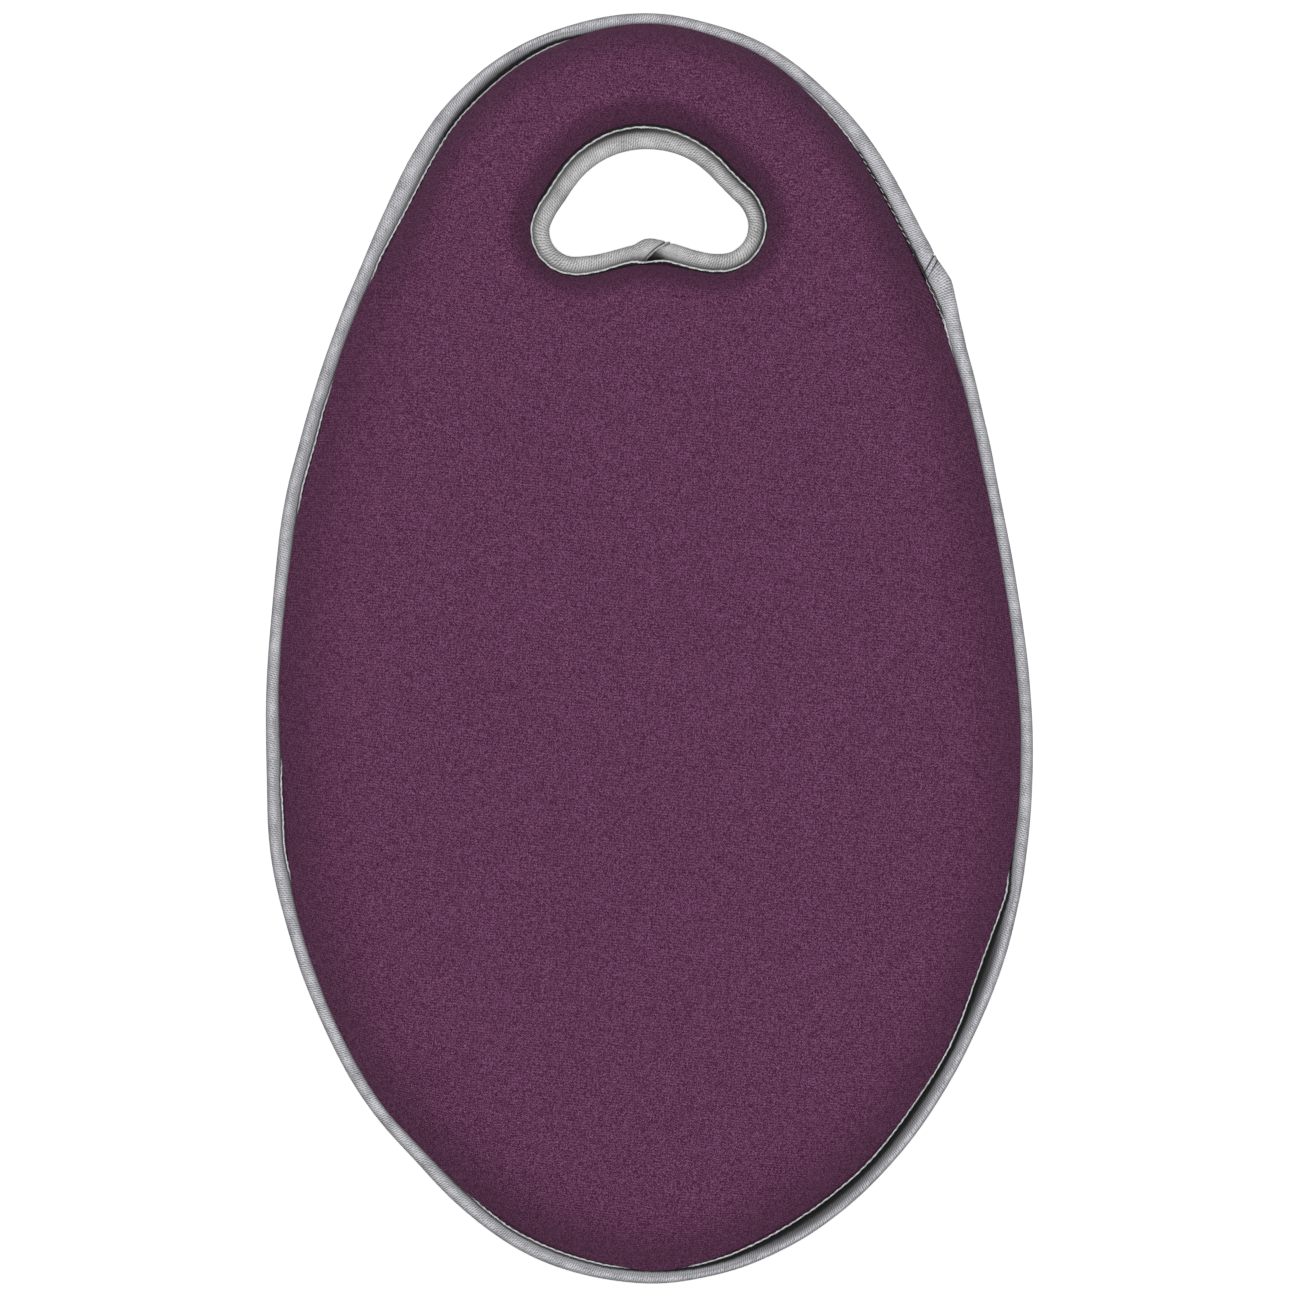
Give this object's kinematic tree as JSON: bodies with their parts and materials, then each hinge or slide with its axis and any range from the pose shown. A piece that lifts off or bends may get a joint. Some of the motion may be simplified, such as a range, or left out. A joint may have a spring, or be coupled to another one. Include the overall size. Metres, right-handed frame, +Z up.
{
  "type": "kneeling pad",
  "caption": "Egg-shaped garden kneeling pad with a plum knit cover over foam, grey bound edges and a hand hole at its narrow end.",
  "frame": {"origin": "centre of the bounding box at its lowest level, on the surface that the pad lies on", "axes": "+X across the pad, +Y along it towards the handle end, +Z up through its thickness, out of the kneeling face"},
  "size_m": [0.272, 0.4493, 0.04],
  "materials": {
    "cover_knit": "fine plum knit face on thin foam rubber, matt",
    "tape_knit": "grey cross-ribbed knit tape, slight satin sheen",
    "thread": "grey spun polyester sewing thread",
    "memory_foam": "cream open-cell foam",
    "eva_foam": "dark grey closed-cell foam"
  },
  "bodies": {
    "root": {"front_cover": "cover_knit", "back_cover": "cover_knit", "memory_foam_layer": "memory_foam", "eva_foam_layer": "eva_foam", "edge_binding": "tape_knit", "handle_binding": "tape_knit", "edge_needle_thread": "thread", "edge_bobbin_thread": "thread", "handle_needle_thread": "thread", "handle_bobbin_thread": "thread"}
  },
  "joints": []
}
